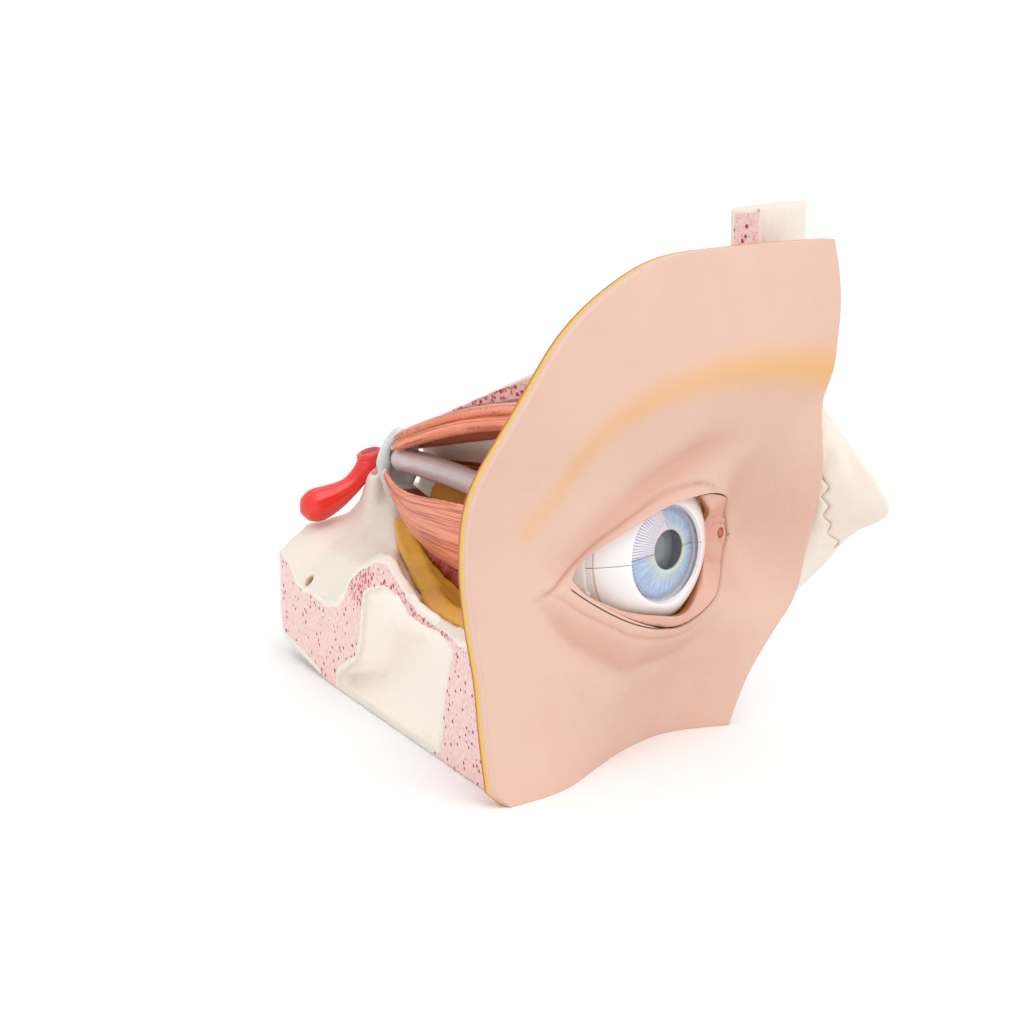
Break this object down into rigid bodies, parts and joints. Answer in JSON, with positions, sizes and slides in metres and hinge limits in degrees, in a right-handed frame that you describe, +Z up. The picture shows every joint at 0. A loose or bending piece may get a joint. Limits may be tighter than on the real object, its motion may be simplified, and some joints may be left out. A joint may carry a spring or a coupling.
{
  "type": "eye anatomy model",
  "caption": "Enlarged eye anatomy model: half face mask over a layered eyeball with muscles, fat and optic nerve in a bony orbit section.",
  "frame": {"origin": "on the flat underside, straight below the centre of the eyeball", "axes": "+X toward the nose, -Y the way the face looks, +Z up"},
  "size_m": [0.1545, 0.2318, 0.177],
  "materials": {
    "bone": "cream cast bone with pink spongy cut faces",
    "skin": "pale peach painted skin",
    "sclera": "white lacquer",
    "cornea": "clear moulded",
    "choroid": "dark brown outside, red vessels",
    "iris": "painted blue rays",
    "lens": "clear moulded",
    "vitreous": "clear moulded",
    "steel_pin": "bright pin",
    "tendon": "grey-white lacquer",
    "nerve": "grey-lilac lacquer",
    "muscle": "orange-red with grooved fibres",
    "fat": "yellow ochre",
    "artery": "bright red lacquer",
    "caruncle": "red"
  },
  "bodies": {
    "orbit_base": {"maxilla": "bone", "medial_wall": "bone", "frontal_bone": "bone", "frontal_process": "bone", "nasal_bone": "bone", "tendon_ring": "tendon", "optic_nerve": "nerve", "lateral_rectus": "muscle", "medial_rectus": "muscle", "inferior_rectus": "muscle", "superior_oblique": "muscle", "oblique_pulley": "tendon", "inferior_oblique": "muscle", "orbital_fat": "fat", "carotid_artery": "artery", "sclera_lower": "sclera", "seam_pin_1": "steel_pin", "seam_pin_2": "steel_pin"},
    "mask": {"face_mask": "skin", "lid_insert": "skin", "caruncle": "caruncle", "mask_pin_upper": "steel_pin", "mask_pin_lower": "steel_pin"},
    "globe_top": {"sclera_upper": "sclera", "cornea": "cornea", "superior_rectus": "muscle", "levator": "muscle", "oblique_tendon": "tendon"},
    "choroid_top": {"choroid_upper": "choroid", "iris_upper": "iris"},
    "vitreous": {"vitreous_body": "vitreous", "lens": "lens"},
    "choroid_bottom": {"choroid_lower": "choroid", "iris_lower": "iris"}
  },
  "joints": [
    {"name": "mask_pull", "type": "slide", "parent": "orbit_base", "child": "mask", "axis": [0, -1, 0], "range_m": [0, 0.2]},
    {"name": "globe_top_lift", "type": "slide", "parent": "orbit_base", "child": "globe_top", "axis": [0, 0, 1], "range_m": [0, 0.12]},
    {"name": "choroid_top_lift", "type": "slide", "parent": "orbit_base", "child": "choroid_top", "axis": [0, 0, 1], "range_m": [0, 0.09]},
    {"name": "vitreous_lift", "type": "slide", "parent": "orbit_base", "child": "vitreous", "axis": [0, 0, 1], "range_m": [0, 0.06]},
    {"name": "choroid_bottom_lift", "type": "slide", "parent": "orbit_base", "child": "choroid_bottom", "axis": [0, 0, 1], "range_m": [0, 0.03]}
  ],
  "couplings": [
    {"joint": "globe_top_lift", "follows": "mask_pull", "ratio": 0.6},
    {"joint": "choroid_top_lift", "follows": "mask_pull", "ratio": 0.45},
    {"joint": "vitreous_lift", "follows": "mask_pull", "ratio": 0.3},
    {"joint": "choroid_bottom_lift", "follows": "mask_pull", "ratio": 0.15}
  ]
}
